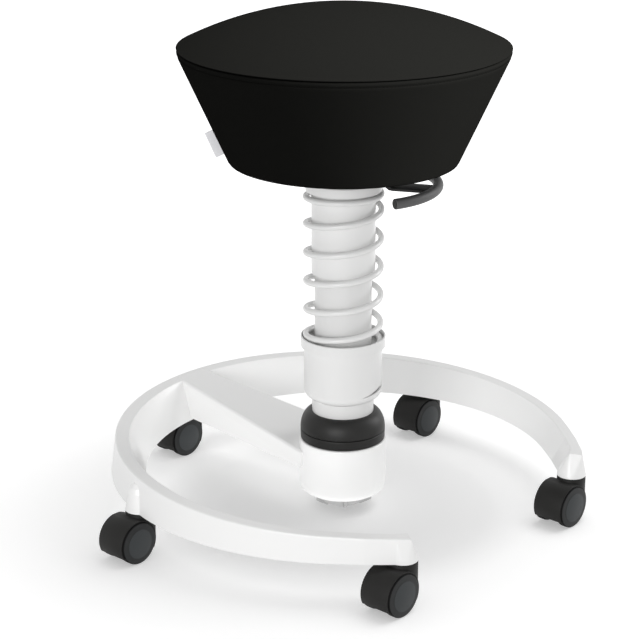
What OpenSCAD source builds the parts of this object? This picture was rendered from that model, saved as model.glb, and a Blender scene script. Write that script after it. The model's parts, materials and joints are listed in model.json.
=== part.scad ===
// Balance stool: a seat on a sprung, tilting column that rises from an open ring base on five castors.
// Millimetres, +Z up. The origin is on the column's axis at the floor and +X points through the ring's gap.

/* [Ring] */
// Outer radius of the ring's flat top
ring_r = 279.5; // [265:0.5:290]
// Width of the ring's top where the arm meets it
ring_w = 18.5; // [14:0.5:24]
// Offset of the ring's inner edge towards the gap, which thins the ring there
ring_thin = 2.1; // [0:0.1:4]
// Distance of the ring's centre from the column, towards the gap
ring_x = 5; // [0:0.5:8]
// Height of the ring's top above the floor at its centre
ring_top_z = 93.8; // [86:0.2:100]
// Slope of the ring's top, down towards the gap
ring_tilt = 2.2; // [0:0.1:3]
// Height of the ring's underside
ring_under_z = 56; // [54:0.5:60]
// Outward slope of the ring's outer wall, per millimetre down
outer_draft = 0.1; // [0:0.01:0.15]
// Inward slope of the ring's inner wall, per millimetre down
inner_draft = 0.45; // [0.2:0.01:0.5]
// Rounding of the ring's top edges
ring_round = 2; // [1:0.5:3]
// Half angle of the gap, to the middle of each end castor
gap_half = 35; // [34:0.5:37]

/* [Arm and hub] */
// Half width of the arm beside the column
arm_half_w = 50.2; // [46:0.2:51]
// Half width of the arm where it meets the ring
arm_end_half_w = 24; // [18:0.5:28]
// Height of the arm's top beside the column
arm_top_z = 77.8; // [72:0.2:80]
// Height of the arm's top where it meets the ring
arm_end_top_z = 105.4; // [103:0.2:108]
// Height of the arm's underside
arm_under_z = 58.5; // [57:0.5:62]
// Outer radius of the hub
hub_r = 53.3; // [52:0.1:56]
// Height of the hub's rim
hub_top_z = 90.5; // [89:0.5:91]
// Height of the hub's bottom
hub_bottom_z = 22; // [20:0.5:24]
// Radius of the bore that the tilt joint sits in
hub_bore_r = 46.5; // [46:0.1:47]

/* [Tilt joint] */
// Height of the point that the column tilts about
pivot_z = 76; // [74:0.5:78]
// Diameter of the pivot pins
pivot_pin_d = 10; // [8:0.5:12]
// Outer radius of the gimbal ring
gimbal_r = 36.5; // [35:0.1:37]
// Height of the gimbal ring
gimbal_h = 14; // [13:0.5:16]
// Diameter of the tension screw
tension_screw_d = 12; // [8:1:14]
// Radius of the tension knob at its rim
knob_r = 37; // [32:0.5:40]
// Height of the knob's underside above the floor
knob_z = 7; // [5:0.5:10]
// Number of grip ribs on the knob
knob_ribs = 6; // [4:1:12]
// Radius of the gaiter at its widest
gaiter_r = 51.4; // [50:0.1:52]
// Height of the gaiter's upper edge
gaiter_top_z = 126; // [122:0.5:130]

/* [Column] */
// Outer radius of the neck below the spring cup
neck_r = 37.3; // [36.5:0.1:38]
// Outer radius of the lower tube
lower_tube_r = 34.2; // [34:0.1:34.4]
// Height of the shoulder that carries the spring cup
shoulder_z = 143; // [140:0.5:146]
// Thickness of the guide bushes between the two tubes
guide_t = 1.6; // [1.5:0.05:1.8]
// Wall of the upper tube
upper_tube_wall = 2.3; // [2.2:0.05:2.6]
// Height of the upper tube's lower end
upper_tube_z = 301; // [298:1:304]
// How far the spring lets the seat sink
bounce_travel = 45; // [20:1:48]

/* [Spring] */
// Diameter of the spring wire
wire_d = 7.5; // [6:0.1:8]
// Radius of the coil to the middle of its wire
coil_r = 44.5; // [44:0.1:44.8]
// Height of the ledge that the spring stands on
spring_seat_z = 209.4; // [208:0.1:211]
// Height of the plate that rests on the spring
spring_plate_z = 401.5; // [398:0.5:404]
// Number of turns
coil_turns = 6.4; // [6:0.1:7]
// Outer radius of the spring cup's rim
cup_rim_r = 51; // [50.5:0.1:52]
// Outer radius of the spring cup's body
cup_r = 47.1; // [46.5:0.1:48]
// Direction of the slot in the cup, anticlockwise from the gap's middle
cup_slot_az = 4; // [-180:1:180]

/* [Gas lift] */
// Outer radius of the lift's sleeve
sleeve_r = 25; // [24:0.5:26]
// Radius of the cylinder that slides in the sleeve
lift_r = 14; // [13:0.5:15]
// Radius of the piston rod
rod_r = 5; // [4.5:0.5:6]
// How far the seat can be raised
lift_travel = 120; // [80:5:120]

/* [Seat] */
// Height of the seat's underside in its lowest position
seat_z = 437; // [434:1:440]
// Radius of the seat's underside
seat_bottom_r = 134; // [128:1:140]
// Radius of the seam between side and top
seam_r = 191.7; // [185:0.1:198]
// Height of that seam
seam_z = 569.2; // [560:0.2:575]
// How far the top stands out past the seam
rim_bulge = 0.9; // [0.6:0.1:3]
// Height of the crown of the seat
crown_z = 615.4; // [600:0.2:630]
// Thickness of the fabric covers
cover_t = 3; // [2:0.5:4]

/* [Release lever] */
// Direction of the lever from the column, anticlockwise from the gap's middle
lever_az = 27; // [0:1:40]
// Height of the flat arm's underside where it meets the handle
lever_z = 407; // [405:0.5:409]
// Width of the flat arm
lever_w = 28; // [26:1:30]
// Radius of the handle's bow
handle_r = 100.5; // [94:0.5:106]
// Distance of the bow's centre from the column, towards the handle
handle_x = 10; // [6:1:12]
// Diameter of the handle's rod
handle_d = 12.4; // [10:0.2:14]
// Half angle that the bow spans
handle_half = 47; // [25:1:55]

/* [Castors] */
// Diameter of the wheels
wheel_d = 50; // [46:1:52]
// Distance of a castor's axle behind its stem
trail = 21; // [17:0.1:22]
// Width over a castor's two wheels
castor_w = 44; // [40:0.5:46]
// How far the castors' stems stand inside the ring's outer edge
castor_inset = 4.5; // [2:0.1:10]
// Radius of a castor's collar
collar_r = 17.3; // [16.5:0.1:18]
// Radius of the hood over the wheels
hood_r = 27; // [26.8:0.1:27.4]

/* [Hidden] */
// Running clearance between a pin and its bore, on the radius
fit = 0.05;
// Gap left between two faces that only meet
rest_gap = 0.2;
$fn = 96;

enamel = "white";
steel = "silver";
rubber = [0.12, 0.12, 0.13];
charcoal = [0.22, 0.22, 0.23];
fabric = [0.07, 0.07, 0.07];

boss_z = ring_under_z;
boss_r = 17.5;
ring_end_angle = 16;
castor_x = ring_x - 1;
castor_circle_r = ring_r - castor_inset;
castor_top_z = boss_z - 0.7;
castor_angles = [252, 325, 35, 108, 180];
stem_r = 5.5;
stem_top_z = 76;
stem_pin_r = 4;
axle_r = 4;
wheel_r = wheel_d / 2;
wheel_inner_x = 9.5;

cup_floor_z = shoulder_z + rest_gap;
cup_band_z = spring_seat_z - 0.4;
cup_rim_z = 221.6;

hub_floor_z = hub_bottom_z + 9;
plate_low_z = hub_floor_z + 9.2;
buffer_low_z = plate_low_z + 5.1;
foot_low_z = pivot_z - 14;
carrier_z = pivot_z - 13.8;
carrier_top_z = pivot_z + 10;
knob_top_z = hub_bottom_z - 1.4;

tube_low_z = hub_top_z + 7.5;
tube_bore_r = lower_tube_r - 3.2;
upper_tube_bore_r = lower_tube_r + guide_t;
upper_tube_r = upper_tube_bore_r + upper_tube_wall;
plate_top_z = spring_plate_z + 11.5;
bracket_z = plate_top_z + 0.5;
screw_angles = [45, 135, 225, 315];
screw_circle_r = 46;
screw_r = 3;
arm_t = 3.4;
handle_z = lever_z + arm_t / 2;
bump_z = spring_plate_z - 6;
lower_tube_top_z = bump_z - bounce_travel - 5.5;
cylinder_top_z = seat_z - 7;
piston_z = cylinder_top_z - 35;
piston_h = 8;
cylinder_z = piston_z - lift_travel - 40;
cylinder_wall = 2;
sleeve_z = cylinder_z - 25;
sleeve_wall = 1.6;
sleeve_bush_l = 30;
lever_pin_r = 3;
button_r = 3.5;
button_top_z = seat_z - 2;
slot_half_w = 13.5;
flange_top_z = seat_z + 2.9;
pan_z = seat_z + 3;
pan_top_z = pan_z + 12;
lever_pin_x = 30;
lever_pin_z = seat_z - 6;
cone_slope = (seam_r - seat_bottom_r) / (seam_z - seat_z);
rim_r = seam_r + rim_bulge;

castor_ids = [for (i = [1:5]) i];

// Points of an arc about (x, y)
function arc(x, y, r, from, to, steps) =
    [for (i = [0:steps]) let (a = from + (to - from) * i / steps) [x + r * cos(a), y + r * sin(a)]];

// A ring with square edges
module collar(outer, inner, z0, z1) {
    translate([0, 0, z0]) difference() {
        cylinder(r = outer, h = z1 - z0);
        translate([0, 0, -1]) cylinder(r = inner, h = z1 - z0 + 2);
    }
}

// Whatever follows, placed where a castor stands
module at_castor(i) {
    a = castor_angles[i - 1];
    translate([castor_x + castor_circle_r * cos(a), castor_circle_r * sin(a), 0]) children();
}

// The ring's upper face and outer wall as a solid disc, cut level underneath
module ring_outside() {
    depth = 60;
    intersection() {
        translate([ring_x, 0, ring_top_z]) rotate([0, ring_tilt, 0]) rotate_extrude($fn = 240)
            polygon(concat(
                [[0, -depth], [ring_r + outer_draft * depth, -depth]],
                arc(ring_r - ring_round, -ring_round, ring_round, 5, 90, 4),
                [[0, 0]]
            ));
        translate([0, 0, ring_under_z]) cylinder(r = ring_r + 30, h = 60);
    }
}

// The open space within the ring, its mouth rounded
module ring_inside() {
    depth = 60;
    r = ring_r - ring_w + ring_thin;
    translate([ring_x + ring_thin, 0, ring_top_z]) rotate([0, ring_tilt, 0]) rotate_extrude($fn = 240)
        polygon(concat(
            [[0, -depth], [r - inner_draft * depth, -depth]],
            arc(r + ring_round, -ring_round, ring_round, 164, 90, 4),
            [[r + ring_round, 4], [0, 4]]
        ));
}

// Height of the ring's top at a distance along X
function ring_z(x) = ring_top_z - (x - ring_x) * tan(ring_tilt);

// A thin slice of the ring, square to it and moved outwards. Its foot leans back as the ring does.
module ring_slice(a, shift = 0) {
    thin = ring_w - ring_thin * (1 + cos(a));
    top = ring_z(ring_x + ring_r * cos(a));
    inner_top = ring_z(ring_x + (ring_r - thin) * cos(a));
    drop = top - ring_under_z;
    lean = drop * tan(ring_tilt) * cos(a);
    translate([ring_x, 0, 0]) rotate([90, 0, a]) translate([shift, 0, 0])
        linear_extrude(0.6, center = true) polygon(concat(
            [[ring_r - thin - inner_draft * drop - lean, ring_under_z]],
            [[ring_r + outer_draft * drop - lean, ring_under_z]],
            arc(ring_r - ring_round, top - ring_round, ring_round, 5, 90, 4),
            arc(ring_r - thin + ring_round, inner_top - ring_round, ring_round, 90, 164, 4)
        ));
}

// An end of the ring: it leaves the circle straight on and stands on the round foot of a castor
module ring_end(side) {
    a = side * gap_half;
    middle = side * (gap_half + 9);
    near = side * (gap_half + 2);
    shift = 6.5;
    top = ring_z(ring_x + ring_r * cos(a));
    hull() {
        ring_slice(side * (gap_half + ring_end_angle));
        ring_slice(middle, shift * 0.35);
    }
    hull() {
        ring_slice(middle, shift * 0.35);
        ring_slice(near, shift);
    }
    hull() {
        ring_slice(near, shift);
        translate([ring_x, 0, 0]) rotate([0, 0, a - side * 0.6]) translate([ring_r - 0.9, 0, top - 3])
            rotate([0, ring_tilt, 0]) cube([15.4, 5, 4.6], center = true);
        translate([castor_x + castor_circle_r * cos(a), castor_circle_r * sin(a), boss_z])
            cylinder(r = boss_r, h = 1, $fn = 64);
    }
}

// A round foot under the ring, narrowing upwards into its wall
module ring_boss(a) {
    height = ring_z(castor_circle_r * cos(a)) - boss_z;
    translate([castor_x + castor_circle_r * cos(a), castor_circle_r * sin(a), boss_z]) rotate_extrude()
        polygon([
            [0, 0], [boss_r, 0], [boss_r - 4, 0.54 * height], [boss_r - 6.5, 0.68 * height],
            [boss_r - 11, 0.8 * height], [0, 0.8 * height]
        ]);
}

// Section of the arm, its top corners rounded
module arm_section(half_w, top_z) {
    round_r = 4;
    polygon(concat(
        [[half_w + 2, arm_under_z]],
        arc(half_w - round_r, top_z - round_r, round_r, 5, 90, 5),
        arc(round_r - half_w, top_z - round_r, round_r, 90, 175, 5),
        [[-half_w - 2, arm_under_z]]
    ));
}

// The arm, which widens and falls from the ring to the hub
module arm() {
    hull() {
        translate([-22, 0, 0]) rotate([90, 0, -90]) linear_extrude(0.5) arm_section(arm_half_w, arm_top_z);
        translate([ring_x - ring_r + ring_w - 7, 0, 0]) rotate([90, 0, -90]) linear_extrude(0.5)
            arm_section(arm_end_half_w, arm_end_top_z);
    }
}

// Outer shape of the hub
module hub_outside() {
    rotate_extrude($fn = 144) polygon(concat(
        [[0, hub_bottom_z], [44, hub_bottom_z]],
        arc(hub_r - 11, hub_bottom_z + 10.5, 10, -80, -5, 6),
        [[hub_r, arm_under_z - 1.5]],
        arc(hub_r - 2.6, hub_top_z - 2, 2, 5, 90, 4),
        [[0, hub_top_z]]
    ));
}

// Ring, arm and hub in one casting, bored for the stems and the tilt joint
module base_casting() {
    wedge_r = 400;
    cut = gap_half + ring_end_angle - 0.2;
    color(enamel) difference() {
        union() {
            difference() {
                ring_outside();
                ring_inside();
                translate([ring_x, 0, 0]) linear_extrude(200) polygon([
                    [0, 0], [wedge_r * cos(cut), -wedge_r * sin(cut)], [wedge_r, 0],
                    [wedge_r * cos(cut), wedge_r * sin(cut)]
                ]);
            }
            ring_end(1);
            ring_end(-1);
            ring_boss(108);
            ring_boss(180);
            ring_boss(252);
            arm();
            hub_outside();
        }
        translate([0, 0, carrier_z - 0.2]) cylinder(r = hub_bore_r, h = 60);
        translate([0, 0, hub_floor_z]) cylinder(r = hub_bore_r - 3.5, h = 60);
        cylinder(r = tension_screw_d / 2 + fit, h = 60);
        for (i = castor_ids) at_castor(i) translate([0, 0, boss_z - 1])
            cylinder(r = stem_r + fit, h = stem_top_z - boss_z + 2);
    }
}

// Five stems pressed into the ring, each with a flange and a swivel pin below it
module castor_stems() {
    color(steel) for (i = castor_ids) at_castor(i) {
        translate([0, 0, boss_z]) cylinder(r = stem_r, h = stem_top_z - boss_z);
        translate([0, 0, 30]) cylinder(r = stem_pin_r, h = boss_z - 30 + 0.1);
    }
}

// Fixed ring in the hub that carries the side pins
module tilt_carrier() {
    color(steel) difference() {
        collar(hub_bore_r - rest_gap, gimbal_r + 2, carrier_z, carrier_top_z);
        translate([0, 0, pivot_z]) rotate([0, 90, 0])
            cylinder(r = pivot_pin_d / 2 + fit, h = 120, center = true);
    }
}

// Snap ring that keeps the carrier in the hub
module carrier_circlip() {
    color(steel) difference() {
        collar(hub_bore_r - 0.1, hub_bore_r - 2.5, carrier_top_z + rest_gap, carrier_top_z + 1.8);
        translate([hub_bore_r - 6, -4, 0]) cube([12, 8, 120]);
    }
}

// Ring that tilts in the carrier and in which the column's foot tilts
module gimbal_ring() {
    color(steel) difference() {
        collar(gimbal_r, gimbal_r - 6.5, pivot_z - gimbal_h / 2, pivot_z + gimbal_h / 2);
        for (a = [0, 90]) translate([0, 0, pivot_z]) rotate([0, 90, a])
            cylinder(r = pivot_pin_d / 2 + fit, h = 120, center = true);
    }
}

// A pair of pins that face each other across the pivot
module pin_pair(a, from, to) {
    for (side = [0, 180]) translate([0, 0, pivot_z]) rotate([0, 90, a + side])
        translate([0, 0, from]) cylinder(r = pivot_pin_d / 2, h = to - from);
}

// Pins between carrier and gimbal ring
module side_pins() {
    color(steel) pin_pair(0, gimbal_r - 5.5, hub_bore_r - 1);
}

// Pins between gimbal ring and the column's foot
module foot_pins() {
    color(steel) pin_pair(90, 15, gimbal_r - 0.5);
}

// Foot of the column: a plug held by the foot pins, a flare and a spigot for the tube
module column_foot() {
    foot_r = 24;
    color(steel) difference() {
        rotate_extrude() polygon([
            [10, foot_low_z], [foot_r, foot_low_z], [foot_r, carrier_top_z], [neck_r - 0.6, tube_low_z - 0.2],
            [tube_bore_r - 0.1, tube_low_z - 0.2], [tube_bore_r - 0.1, tube_low_z + 27], [10, tube_low_z + 27]
        ]);
        translate([0, 0, pivot_z]) rotate([90, 0, 0])
            cylinder(r = pivot_pin_d / 2 + fit, h = 60, center = true);
    }
}

// Rubber block that the foot comes to rest on at full tilt
module tilt_buffer() {
    color(rubber) collar(hub_bore_r - 6.5, 9, buffer_low_z, foot_low_z - 5.4);
}

// Plate that the tension screw pushes up under the buffer
module preload_plate() {
    color(steel) translate([0, 0, plate_low_z]) cylinder(r = hub_bore_r - 4.5, h = 4.8);
}

// Screw fixed in the knob
module tension_screw() {
    low = knob_z + 4;
    color(steel) translate([0, 0, low]) cylinder(r = tension_screw_d / 2, h = plate_low_z - 0.2 - low);
}

// Knob under the hub, a shallow cone with grip ribs
module tension_knob() {
    rib_t = 4;
    color(charcoal) difference() {
        union() {
            rotate_extrude() polygon([
                [0, knob_z], [21, knob_z], [26, knob_z + 1.6], [knob_r - 2, knob_top_z - 4],
                [knob_r, knob_top_z - 2], [knob_r, knob_top_z], [0, knob_top_z]
            ]);
            for (i = [1:knob_ribs]) rotate([90, 0, i * 360 / knob_ribs + 18])
                linear_extrude(rib_t, center = true) polygon([
                    [18, knob_z - 1], [25, knob_z - 1], [knob_r + 1, knob_top_z - 7],
                    [knob_r + 1, knob_top_z], [18, knob_top_z]
                ]);
        }
        translate([0, 0, knob_z + 3]) cylinder(r = tension_screw_d / 2 + fit, h = 60);
    }
}

// Rubber gaiter over the tilt joint, with a groove round its widest part
module gaiter() {
    low = hub_top_z + 0.6;
    groove_z = hub_top_z + 12.1;
    swell = gaiter_r - neck_r;
    rise = gaiter_top_z - groove_z;
    color(rubber) rotate_extrude($fn = 144) polygon(concat(
        [[gaiter_r - 3.4, low], [gaiter_r - 0.4, low], [gaiter_r, groove_z - 1], [gaiter_r - 1.4, groove_z]],
        [for (i = [0:8]) let (a = i * 11.25)
            [neck_r + 0.6 + (swell - 0.6) * cos(a), groove_z + 1 + (rise - 1) * sin(a)]],
        [[neck_r + 0.2, gaiter_top_z], [neck_r + 0.2, gaiter_top_z - 3]],
        [for (i = [7:-1:0]) let (a = i * 11.25)
            [neck_r + 0.4 + (swell - 4) * cos(a), groove_z + 1 + (rise - 5) * sin(a)]]
    ));
}

// Lower tube with the wider neck at its foot
module lower_tube() {
    bush_seat_r = lower_tube_r - 1;
    color(enamel) rotate_extrude() polygon([
        [tube_bore_r, tube_low_z], [neck_r - 0.6, tube_low_z], [neck_r, tube_low_z + 1], [neck_r, shoulder_z],
        [lower_tube_r, shoulder_z], [lower_tube_r, lower_tube_top_z - 21],
        [bush_seat_r, lower_tube_top_z - 21], [bush_seat_r, lower_tube_top_z], [tube_bore_r, lower_tube_top_z]
    ]);
}

// Guide bush on the lower tube's top
module upper_bush() {
    top = lower_tube_top_z - 0.5;
    color(charcoal) collar(upper_tube_bore_r - fit, lower_tube_r - 1 + fit, top - 20.3, top);
}

// Cup that stands on the neck's shoulder and holds the spring's foot
module spring_cup() {
    wall = 2.6;
    foot_r = 36.6;
    ledge_r = lower_tube_r + fit;
    color(enamel) difference() {
        rotate_extrude($fn = 144) polygon(concat(
            [[ledge_r, cup_floor_z], [foot_r, cup_floor_z]],
            arc(cup_r - 11, cup_floor_z + 11.6, 11, -72, 0, 6),
            [
                [cup_r, cup_band_z], [cup_rim_r, cup_band_z], [cup_rim_r, cup_rim_z - 0.6],
                [cup_rim_r - 0.6, cup_rim_z], [cup_rim_r - 1.6, cup_rim_z], [cup_rim_r - 1.6, spring_seat_z],
                [ledge_r, spring_seat_z], [ledge_r, spring_seat_z - 3], [cup_r - wall, spring_seat_z - 3],
                [cup_r - wall, cup_floor_z + 12], [ledge_r + wall, cup_floor_z + 3.4],
                [ledge_r + wall, cup_floor_z + 30], [ledge_r, cup_floor_z + 30]
            ]
        ));
        rotate([0, 0, cup_slot_az]) rotate([90, 0, 90]) translate([0, 0, 40]) linear_extrude(12)
            polygon([[-20, 154], [20, 157.5], [26, 160], [26, 168], [10, 161]]);
    }
}

// Share of the full pitch that the spring has at a turn: closed at both ends
function pitch_share(t) =
    let (low = 0.09, rise = 1.15, fall = 0.6, flat = 0.4)
    t < rise ? low + (1 - low) * t / rise
    : t < coil_turns - flat - fall ? 1
    : t < coil_turns - flat ? 1 - (1 - low) * (t - coil_turns + flat + fall) / fall
    : low;
rings_per_turn = 24;
ring_count = round(coil_turns * rings_per_turn);
// Running sum of the pitch shares, which gives each ring's height
function climb(n, i = 0, sum = 0, out = []) =
    i > n ? out : climb(n, i + 1, sum + pitch_share((i + 0.5) / rings_per_turn), concat(out, [sum]));
climbs = climb(ring_count);
wire_low_z = spring_seat_z + wire_d / 2 + 0.3;
wire_high_z = spring_plate_z - wire_d / 2 - 0.3;
function wire_z(i) = wire_low_z + (wire_high_z - wire_low_z) * climbs[i] / climbs[ring_count];
// The wire begins a little in front of the column's side that faces away from the gap
wire_start_az = 221.7 + 108;
function wire_az(i) = wire_start_az + 360 * i / rings_per_turn;
function wire_point(i) = [coil_r * cos(wire_az(i)), coil_r * sin(wire_az(i)), wire_z(i)];
function wire_along(i) = [-sin(wire_az(i)), cos(wire_az(i)), 0];
// The middle of the wire, with a straight run of one diameter at each end
wire_path = concat(
    [wire_point(0) - wire_d * wire_along(0)],
    [for (i = [0:ring_count]) wire_point(i)],
    [wire_point(ring_count) + wire_d * wire_along(ring_count)]
);
wire_azimuths = concat([wire_az(0)], [for (i = [0:ring_count]) wire_az(i)], [wire_az(ring_count)]);
// Least gap between points one turn apart
spring_gap = min([for (i = [1:len(wire_path) - 2 - rings_per_turn])
    norm(wire_path[i + rings_per_turn] - wire_path[i]) - wire_d]);
echo(spring_gap = spring_gap);

// Compression spring: one unbroken wire of six sides
module coil_spring() {
    sides = 6;
    last = len(wire_path) - 1;
    points = [for (i = [0:last], k = [0:sides - 1])
        let (a = 360 * k / sides, out = [cos(wire_azimuths[i]), sin(wire_azimuths[i]), 0])
        wire_path[i] + wire_d / 2 * (cos(a) * out + sin(a) * [0, 0, 1])];
    walls = [for (i = [0:last - 1], k = [0:sides - 1])
        let (n = (k + 1) % sides)
        [i * sides + k, i * sides + n, (i + 1) * sides + n, (i + 1) * sides + k]];
    start_cap = [[for (k = [sides - 1:-1:0]) k]];
    end_cap = [[for (k = [0:sides - 1]) last * sides + k]];
    color(enamel) polyhedron(points = points, faces = concat(walls, start_cap, end_cap), convexity = 8);
}

// Upper tube, which slides on the two bushes
module upper_tube() {
    color(enamel) collar(upper_tube_r, upper_tube_bore_r, upper_tube_z, plate_top_z);
}

// Guide bush in the upper tube's lower end
module lower_bush() {
    low = upper_tube_z + 0.5;
    color(charcoal) collar(upper_tube_bore_r - fit, lower_tube_r + fit, low, low + 19);
}

// Flange on the upper tube that rests on the spring
module spring_plate() {
    plate_r = 45.1;
    color(enamel) difference() {
        translate([0, 0, spring_plate_z]) rotate_extrude() polygon(concat(
            [[0, 0], [plate_r, 0]],
            [[plate_r, plate_top_z - spring_plate_z - 1], [plate_r - 1, plate_top_z - spring_plate_z]],
            [[0, plate_top_z - spring_plate_z]]
        ));
        translate([0, 0, spring_plate_z - 1]) cylinder(r = upper_tube_r + fit, h = 40);
    }
}

// Plug in the upper tube's top that holds the lift's sleeve
module lift_collar() {
    color(steel) collar(upper_tube_bore_r - fit, sleeve_r + fit, spring_plate_z, plate_top_z);
}

// Rubber ring that the lower tube meets at the end of its travel
module bump_stop() {
    color(rubber) collar(upper_tube_bore_r - 0.6, sleeve_r + 2, bump_z, spring_plate_z - 0.1);
}

// Outer sleeve of the gas lift, closed below but for the rod's hole
module gas_sleeve() {
    floor_t = 3;
    color(steel) difference() {
        translate([0, 0, sleeve_z]) cylinder(r = sleeve_r, h = plate_top_z - sleeve_z);
        translate([0, 0, sleeve_z + floor_t]) cylinder(r = sleeve_r - sleeve_wall, h = plate_top_z);
        translate([0, 0, sleeve_z - 1]) cylinder(r = rod_r - 1 + fit, h = floor_t + 2);
    }
}

// Guide bush in the sleeve's mouth
module sleeve_bush() {
    color(charcoal)
        collar(sleeve_r - sleeve_wall - fit, lift_r + fit, plate_top_z - sleeve_bush_l, plate_top_z - 0.5);
}

// Rod of the gas lift, stepped where it passes through the sleeve's bottom
module piston_rod() {
    step_z = sleeve_z + 3.2;
    color(steel) {
        translate([0, 0, sleeve_z - 4.5]) cylinder(r = rod_r - 1, h = 8);
        translate([0, 0, step_z]) cylinder(r = rod_r, h = piston_z + piston_h - step_z);
    }
}

// Piston on the rod's top
module piston() {
    color(charcoal) collar(lift_r - cylinder_wall - fit, rod_r + fit, piston_z, piston_z + piston_h);
}

// Clip that holds the rod under the sleeve
module rod_clip() {
    clip_r = 7.5;
    mouth = 3;
    color(steel) difference() {
        collar(clip_r, rod_r - 1 + fit, sleeve_z - 2.2, sleeve_z - 0.3);
        translate([0, -mouth / 2, sleeve_z - 10]) cube([20, mouth, 20]);
    }
}

// Cylinder of the gas lift, which slides on the piston and carries the seat
module gas_cylinder() {
    plug_t = 6;
    color(steel) difference() {
        translate([0, 0, cylinder_z]) cylinder(r = lift_r, h = cylinder_top_z - cylinder_z);
        translate([0, 0, cylinder_z + plug_t])
            cylinder(r = lift_r - cylinder_wall, h = cylinder_top_z - cylinder_z - 2 * plug_t);
        translate([0, 0, cylinder_z - 1]) cylinder(r = rod_r + fit, h = 20);
        translate([0, 0, cylinder_top_z - 20]) cylinder(r = button_r + fit, h = 40);
    }
}

// Button that opens the lift's valve
module valve_button() {
    low = cylinder_top_z - 5.4;
    color(charcoal) translate([0, 0, low]) cylinder(r = button_r, h = button_top_z - low);
}

// Bracket under the seat, with a socket for the cylinder and lugs for the lever's pin
module seat_bracket() {
    boss_r = 22;
    flange_r = 58;
    flange_t = 4;
    lug_z = lever_pin_z - 5;
    bore_h = flange_top_z - bracket_z + 10;
    color(charcoal) difference() {
        union() {
            translate([0, 0, bracket_z]) cylinder(r = boss_r, h = flange_top_z - bracket_z);
            translate([0, 0, flange_top_z - flange_t]) cylinder(r = flange_r, h = flange_t);
            rotate([0, 0, lever_az]) for (side = [0, 1]) mirror([0, side, 0])
                translate([lever_pin_x - 6.5, slot_half_w + 0.5, lug_z]) cube([13, 7, flange_top_z - lug_z]);
        }
        translate([0, 0, bracket_z - 1]) cylinder(r = lift_r + fit, h = bore_h);
        rotate([0, 0, lever_az]) {
            translate([-12, -slot_half_w, cylinder_top_z + 1]) cube([80, 2 * slot_half_w, 20]);
            translate([lever_pin_x, 0, lever_pin_z]) rotate([90, 0, 0])
                cylinder(r = lever_pin_r + fit, h = 80, center = true);
            for (a = screw_angles) rotate([0, 0, a]) translate([screw_circle_r, 0, bracket_z])
                cylinder(r = screw_r + fit, h = bore_h);
        }
    }
}

// Four screws that hold the bracket to the pan
module bracket_screws() {
    head_z = flange_top_z - 4 - rest_gap;
    head_h = 4;
    color(steel) for (a = screw_angles) rotate([0, 0, lever_az + a]) translate([screw_circle_r, 0, 0]) {
        translate([0, 0, head_z - head_h]) cylinder(r = 5, h = head_h);
        translate([0, 0, head_z - 0.1]) cylinder(r = screw_r, h = 14);
    }
}

// Pin that the lever turns on
module lever_pin() {
    color(steel) rotate([0, 0, lever_az]) translate([lever_pin_x, 0, lever_pin_z]) rotate([90, 0, 0])
        cylinder(r = lever_pin_r, h = 2 * slot_half_w + 14, center = true);
}

// Flat arm of the lever, cranked down from the valve to the handle
module lever_arm() {
    inner_half_w = 12.5;
    pad_z = button_top_z + 0.4;
    crank_x = 57;
    end_x = handle_x + handle_r;
    color(steel) difference() {
        rotate([0, 0, lever_az]) union() {
            rotate([90, 0, 0]) linear_extrude(2 * inner_half_w, center = true) polygon([
                [-6, pad_z], [-6, pad_z + 3], [33, pad_z + 3], [38, lever_pin_z + 2],
                [crank_x + 3, lever_z + arm_t], [crank_x + 5, lever_z + arm_t], [crank_x + 5, lever_z],
                [crank_x, lever_z], [36, lever_pin_z - 7], [25, lever_pin_z - 7], [25, pad_z]
            ]);
            translate([crank_x + 3, -lever_w / 2, lever_z]) cube([end_x - crank_x - 3, lever_w, arm_t]);
        }
        rotate([0, 0, lever_az]) translate([lever_pin_x, 0, lever_pin_z]) rotate([90, 0, 0])
            cylinder(r = lever_pin_r + fit, h = 80, center = true);
        handle_bow(handle_d / 2 + fit);
    }
}

// Bow of the handle with a round section of the given radius
module handle_bow(r) {
    rotate([0, 0, lever_az]) translate([handle_x, 0, handle_z]) rotate([0, 0, -handle_half])
        rotate_extrude(angle = 2 * handle_half) translate([handle_r, 0]) circle(r = r, $fn = 48);
}

// Bow-shaped rod at the lever's end
module lever_handle() {
    color(steel) handle_bow(handle_d / 2);
}

// Pan of the seat
module seat_pan() {
    color("burlywood") difference() {
        translate([0, 0, pan_z]) cylinder(r = seat_bottom_r - 6, h = pan_top_z - pan_z);
        translate([0, 0, pan_z - 1]) cylinder(r = 14, h = 40);
        for (a = screw_angles) rotate([0, 0, lever_az + a]) translate([screw_circle_r, 0, pan_z - 1])
            cylinder(r = screw_r + fit, h = 40);
    }
}

// Radius of the seat's side at a height
function side_r(z) = seat_bottom_r + cone_slope * (z - seat_z);

// Outline of the crowned top from its rim to its middle, set in by the given thickness
rim_round = 1.3;
dome_z = seam_z + 1.6;
dome_power = 2.12;
function dome(inset) = [for (i = [0:16]) let (r = sin(90 - i * 90 / 16))
    [(rim_r - rim_round / 2 - inset) * r, dome_z + (crown_z - inset - dome_z) * (1 - pow(r, dome_power))]];

// Foam of the seat
module seat_foam() {
    inset = cover_t + rest_gap;
    color("khaki") rotate_extrude($fn = 144) polygon(concat(
        [[0, pan_top_z + rest_gap], [side_r(pan_top_z) - inset - 0.3, pan_top_z + rest_gap]],
        [[seam_r - inset - 1.2, seam_z - 0.6]],
        dome(inset)
    ));
}

// Fabric under the seat, cut out round the bracket
module bottom_cover() {
    color(fabric) collar(seat_bottom_r - 4, 60, seat_z, seat_z + 2.6);
}

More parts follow.
